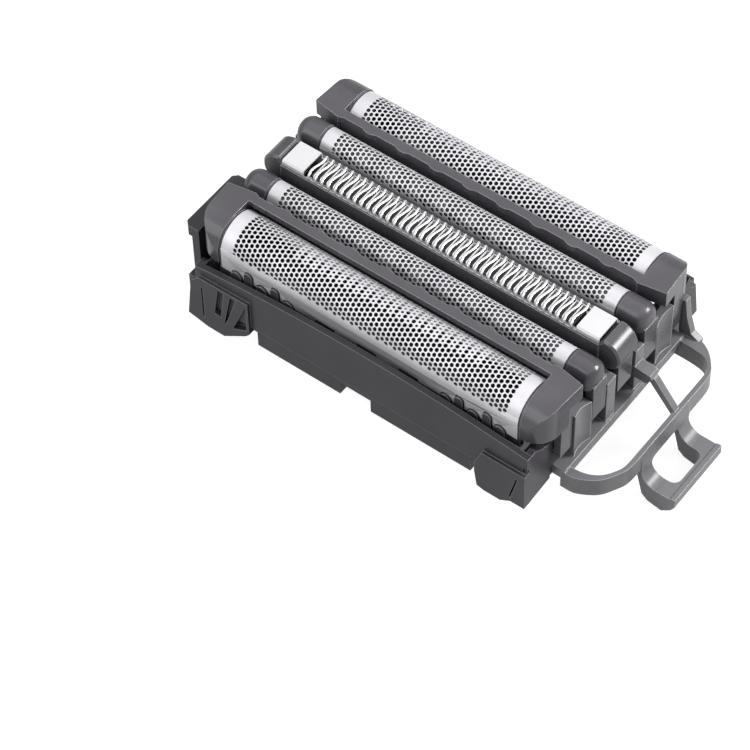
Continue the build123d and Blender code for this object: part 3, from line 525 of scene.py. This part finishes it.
def make_foil(name, node, body, row_y, arch_z, radius, field_from, field_to, mixed=None):
    """A punched foil in the place of a plain one. The field runs between two angles round the arch."""
    quarter = math.pi / 2 * radius
    columns = int((sheet_length - 2 * blank_end) / hole_step_along)
    rows = int((field_to - field_from) * radius / hole_step_across)
    sheet = make_field(name, columns, rows, mixed)
    shift = (field_from + field_to) / 2 * radius
    for vertex in sheet.data.vertices:
        vertex.co.y += shift
    widen(sheet, X, sheet_length / 2, steps=1)
    widen(sheet, X, -sheet_length / 2, steps=1)
    widen(sheet, Y, quarter, steps=5)
    widen(sheet, Y, -quarter, steps=5)
    wrap(sheet, row_y, arch_z, radius)
    thickness = sheet.modifiers.new("thickness", "SOLIDIFY")
    thickness.thickness = sheet_thickness
    thickness.offset = -1
    apply_modifiers(sheet)
    skirts = keep_part(name + "_skirts", node, [(Z, arch_z, True)])
    join([sheet, skirts], smooth_below=35)
    dress(sheet, foil_steel)
    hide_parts(node)
    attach(sheet, body)
    print(name, "holes", columns * rows * 2, "faces", len(sheet.data.polygons))


# %% Make the four foils
outer_row = 12.75 * MM
outer_arch = 12.93 * MM
outer_radius = 3.47 * MM
rear_shift = 0.8 * MM
rear_drop = 0.85 * MM
middle_row = 5.35 * MM
middle_arch = 13.6 * MM
middle_radius = 1.85 * MM
lip_angle = math.radians(66)
front_angle = math.radians(82)
mixed_rows = (5.4, 11.5)

make_foil("front_foil_punched", "front_foil", "front_cassette",
          -outer_row, outer_arch, outer_radius, -front_angle, lip_angle, mixed_rows)
make_foil("rear_foil_punched", "rear_foil", "rear_cassette",
          outer_row - rear_shift, outer_arch - rear_drop, outer_radius, -lip_angle, front_angle, mixed_rows)
make_foil("mid_front_foil_punched", "mid_front_foil", "mid_front_unit",
          -middle_row, middle_arch, middle_radius, -front_angle, front_angle)
make_foil("mid_rear_foil_punched", "mid_rear_foil", "mid_rear_unit",
          middle_row, middle_arch, middle_radius, -front_angle, front_angle)

# %% [markdown]
# ## The comb
#
# The ribs of a slit comb are bent: each wanders to the left and back to the right on its way over the comb.
# One rib is a six-sided section carried along its path, and all the others are copies of it. The plain ends
# and the skirts come from the solid comb. The blades of the cutter inside are made the same way, with a
# plain four-sided section and no bend.


# %% Carry a section along a path
def sweep(name, section, path):
    """Section points are (along x, outwards). Path points are (y, z, outwards in y, outwards in z, x)."""
    corners = len(section)

    def ring(step):
        y, z, out_y, out_z, x = path[step]
        return [(x + along, y + out * out_y, z + out * out_z) for along, out in section]

    deselect_all()
    bpy.ops.mesh.primitive_circle_add(vertices=corners, radius=MM, fill_type="NGON")
    bar = bpy.context.object
    bar.name = name
    edit(bar)
    for step in range(len(path)):
        if step:
            bpy.ops.mesh.select_all(action="DESELECT")
            mesh = bmesh.from_edit_mesh(bar.data)
            mesh.verts.ensure_lookup_table()
            for face in mesh.faces:
                if all(v.index >= len(mesh.verts) - corners for v in face.verts):
                    face.select_set(True)
            bpy.ops.mesh.extrude_region_move()
        mesh = bmesh.from_edit_mesh(bar.data)
        mesh.verts.ensure_lookup_table()
        last = [v for v in mesh.verts if v.index >= len(mesh.verts) - corners]
        for vertex, place in zip(last, ring(step)):
            vertex.co = place
        bmesh.update_edit_mesh(bar.data)
    bpy.ops.mesh.select_all(action="SELECT")
    bpy.ops.mesh.normals_make_consistent(inside=False)
    leave(bar)
    settle(bar)
    return bar


crest_steps = 7
crest_share = 0.65


def over_the_comb(half, crest, foot, bend):
    """A way over the comb from front to back, bent like an S in plan."""
    side = [(half, foot), (half, crest - 0.5 * MM), (half - 0.06 * MM, crest - 0.2 * MM),
            (half - 0.25 * MM, crest - 0.03 * MM)]
    out = [(1, 0), (1, 0), (0.8, 0.6), (0.3, 0.95)]
    path = [(-y, z, -a, b, 0) for (y, z), (a, b) in zip(side, out)]
    for step in range(crest_steps):
        y = (-crest_share + 2 * crest_share * step / (crest_steps - 1)) * half
        path.append((y, crest, 0, 1, bend * math.sin(math.pi * y / half)))
    path += [(y, z, a, b, 0) for (y, z), (a, b) in reversed(list(zip(side, out)))]
    return path


# %% Make the comb and the blades under it
comb_pitch = 1.0 * MM
comb_crest = 15.7 * MM
comb_half = 2.0 * MM
plate_start = 20.3 * MM
slot_floor = 14.75 * MM

rib_count = 40
rib_half = 0.15 * MM
rib_depth = 0.2 * MM
rib_top_half = 0.07 * MM
rib_shoulder = 0.07 * MM
rib_foot = 14.1 * MM
rib_bend = 0.17 * MM

blade_count = 39
blade_half = 0.09 * MM
blade_depth = 0.25 * MM
blade_row_half = 1.55 * MM
blade_crest = 15.4 * MM
blade_floor = 14.4 * MM
blade_foot = 14.0 * MM


def row_of(bar, count):
    """Copies of a bar in a row, one comb pitch apart, about x = 0."""
    repeat(bar, comb_pitch, count, X)
    apply_modifiers(bar)
    for vertex in bar.data.vertices:
        vertex.co.x -= (count - 1) / 2 * comb_pitch
    return bar


def make_comb():
    section = [(-rib_half, -rib_depth), (rib_half, -rib_depth), (rib_half, -rib_shoulder),
               (rib_top_half, 0), (-rib_top_half, 0), (-rib_half, -rib_shoulder)]
    rib = sweep("slit_comb_ribs", section, over_the_comb(comb_half, comb_crest, rib_foot, rib_bend))
    skirts = keep_part("comb_skirts", "slit_comb", [(Z, slot_floor, True)])
    right = keep_part("comb_right_end", "slit_comb", [(Z, slot_floor, False), (X, plate_start, False)])
    left = keep_part("comb_left_end", "slit_comb", [(Z, slot_floor, False), (X, -plate_start, True)])
    comb = join([row_of(rib, rib_count), skirts, right, left], smooth_below=30)
    dress(comb, comb_steel)
    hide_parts("slit_comb")
    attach(comb, "comb_unit")
    return comb


def make_comb_blades():
    section = [(-blade_half, -blade_depth), (blade_half, -blade_depth), (blade_half, 0), (-blade_half, 0)]
    blade = sweep("comb_blades", section, over_the_comb(blade_row_half, blade_crest, blade_foot, 0))
    sides = keep_part("comb_blade_sides", "comb_cutter", [(Z, blade_floor, True)])
    blades = join([row_of(blade, blade_count), sides], smooth_below=30)
    dress(blades, comb_steel)
    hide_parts("comb_cutter")
    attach(blades, "comb_blade")
    return blades


comb = make_comb()
blades = make_comb_blades()
print("comb faces", len(comb.data.polygons), "blade faces", len(blades.data.polygons))

# %% [markdown]
# ## The rear wall
#
# The photo shows nothing of the base behind the rear foil, so the top of the wall there is drawn in: a copy
# of the base has it moved inwards and lowered. The foot of the wall stays, because the tray stands in it.
# Between the moved wall and the rest of the base is a narrow strip that is squeezed to fit.

# %% Draw in the rear wall
foot_top = 7.1 * MM
wall_from = 17.0 * MM
strip_from = 15.9 * MM
strip_share = 0.18
wall_move = 0.9 * MM
crown_from = 7.2 * MM
crown_share = 0.55


def draw_in_rear():
    shell = keep_part("base_shell", "base_frame", [])
    for vertex in shell.data.vertices:
        if vertex.co.z < foot_top:
            continue
        if vertex.co.y > wall_from:
            vertex.co.y -= wall_move
            vertex.co.z = crown_from + (vertex.co.z - crown_from) * crown_share
        elif vertex.co.y > strip_from:
            vertex.co.y = strip_from + (vertex.co.y - strip_from) * strip_share
    pick(shell)
    bpy.ops.object.shade_smooth_by_angle(angle=math.radians(10))
    dress(shell, base_plastic)
    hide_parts("base_frame")
    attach(shell, "base")


draw_in_rear()

# %% [markdown]
# ## The springs
#
# A coil spring is a circle of wire carried round and up at once, which is just what the Screw modifier does.
# Both ends of the wire are closed with a flat face.

# %% Wind the springs
wire_radius = 0.14 * MM
coil_radius = 0.95 * MM
coil_turns = 9


def wind_spring(node, body):
    low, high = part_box(node)
    centre = ((low[0] + high[0]) / 2, (low[1] + high[1]) / 2)
    height = high[2] - low[2]
    deselect_all()
    bpy.ops.mesh.primitive_circle_add(vertices=8, radius=wire_radius, rotation=(math.pi / 2, 0, 0),
                                      location=(coil_radius, 0, 0))
    coil = bpy.context.object
    coil.name = node + "_coil"
    settle(coil)
    screw = coil.modifiers.new("wind", "SCREW")
    screw.screw_offset = (height - 2 * wire_radius) / coil_turns
    screw.iterations = coil_turns
    screw.steps = 20
    screw.render_steps = 20
    screw.use_normal_calculate = True
    apply_modifiers(coil)
    edit(coil)
    bpy.ops.mesh.select_all(action="DESELECT")
    bpy.ops.mesh.select_non_manifold()
    bpy.ops.mesh.edge_face_add()
    bpy.ops.mesh.select_all(action="SELECT")
    bpy.ops.transform.translate(value=(centre[0], centre[1], low[2] + wire_radius))
    bpy.ops.mesh.normals_make_consistent(inside=False)
    leave(coil)
    pick(coil)
    bpy.ops.object.shade_smooth_by_angle(angle=math.radians(50))
    dress(coil, spring_steel)
    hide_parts(node)
    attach(coil, body)
    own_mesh(coil)


for row in ("mid_front", "comb", "mid_rear"):
    for end in ("left", "right"):
        wind_spring(f"{row}_spring_{end}", "base")

# %% [markdown]
# ## Floor and light
#
# The head was laid on white paper under a white tent. Light comes evenly from all over, most of it from a
# wide lamp above, with a little from the front and a small lamp behind the right end that draws a rim. The
# paper and the tent look plain white to the camera. In the plastic and the steel they look greyer, or every
# edge would glare. `Light Path` tells which kind of ray has arrived, so what is shown to camera and mirror
# rays adds no light. The paper right under the head is kept dark, where its own shadow lies, or it would
# shine through the gaps of the base.


# %% Tell mirror rays from the rest
def mirrored(finish):
    glossy_ray = finish.node("LightPath", output=3)
    transmission_ray = finish.node("LightPath", output=6)
    return glossy_ray.more(transmission_ray)


# %% Keep the paper dark below the head
shadow_half_length = (17.0 * MM, 21.0 * MM)
shadow_half_width = (9.5 * MM, 13.0 * MM)


def under_head(finish):
    """1 under the middle of the head and 0 outside it. The squares serve both sides of the middle."""
    here = finish.place()
    along = finish.node("SeparateXYZ", {}, {"Vector": here}, output=0)
    across = finish.node("SeparateXYZ", {}, {"Vector": here}, output=1)
    inside_ends = 1.0 - (along * along).over(*(reach ** 2 for reach in shadow_half_length))
    inside_walls = 1.0 - (across * across).over(*(reach ** 2 for reach in shadow_half_width))
    return inside_ends * inside_walls


# %% Lay the floor
floor_gap = 0.2 * MM
black = (0, 0, 0)
paper_grey = (0.3, 0.3, 0.3)
paper_mirrored = (0.5, 0.5, 0.5)
paper_seen = (0.84, 0.84, 0.84)
paper_in_shadow = (0.01, 0.01, 0.01)


def make_floor():
    low, high = cad_bounds
    deselect_all()
    bpy.ops.mesh.primitive_plane_add(size=2.0, location=(0, 0, low[2] - floor_gap))
    floor = bpy.context.object
    floor.name = "floor"
    settle(floor)
    paper = Finish("paper", base_color=paper_grey, roughness=0.9)
    camera_ray = paper.node("LightPath", output=0)
    shown = paper.mix(mirrored(paper), black, paper_mirrored)
    lit = paper.mix(camera_ray, shown, paper_seen)
    paper.set(emission_color=paper.mix(under_head(paper), lit, paper_in_shadow), emission_strength=1.0)
    dress(floor, paper.material)


make_floor()

# %% Hang the lamps
lamp_target = (0, 0, 0.01)


def hang_lamp(name, place, size, power):
    data = bpy.data.lights.new(name, "AREA")
    data.shape = "RECTANGLE"
    data.size, data.size_y = size
    data.energy = power
    lamp = bpy.data.objects.new(name, data)
    bpy.context.collection.objects.link(lamp)
    lamp.location = place
    lamp.rotation_euler = (Vector(lamp_target) - Vector(place)).to_track_quat("-Z", "Y").to_euler()


hang_lamp("top", place=(-0.05, -0.10, 0.85), size=(1.6, 1.6), power=10.0)
hang_lamp("right_rim", place=(0.22, 0.158, 0.186), size=(0.11, 0.11), power=1.3)
hang_lamp("front", place=(-0.20, -0.50, 0.28), size=(0.6, 0.4), power=2.2)

# %% Light the tent
tent_light = (0.17, 0.17, 0.175, 1)
tent_mirrored = (0.62, 0.62, 0.635, 1)
tent_seen = (1, 1, 1, 1)


def make_tent():
    world = bpy.data.worlds.new("tent")
    world.use_nodes = True
    tree = world.node_tree
    background = tree.nodes["Background"]
    path = tree.nodes.new("ShaderNodeLightPath")
    reflected = tree.nodes.new("ShaderNodeMix")
    reflected.data_type = "RGBA"
    reflected.inputs[6].default_value = tent_light
    reflected.inputs[7].default_value = tent_mirrored
    tree.links.new(path.outputs["Is Glossy Ray"], reflected.inputs[0])
    shown = tree.nodes.new("ShaderNodeMix")
    shown.data_type = "RGBA"
    shown.inputs[7].default_value = tent_seen
    tree.links.new(reflected.outputs[2], shown.inputs[6])
    tree.links.new(path.outputs["Is Camera Ray"], shown.inputs[0])
    tree.links.new(shown.outputs[2], background.inputs["Color"])
    bpy.context.scene.world = world


make_tent()
bpy.context.scene.view_settings.view_transform = "Standard"
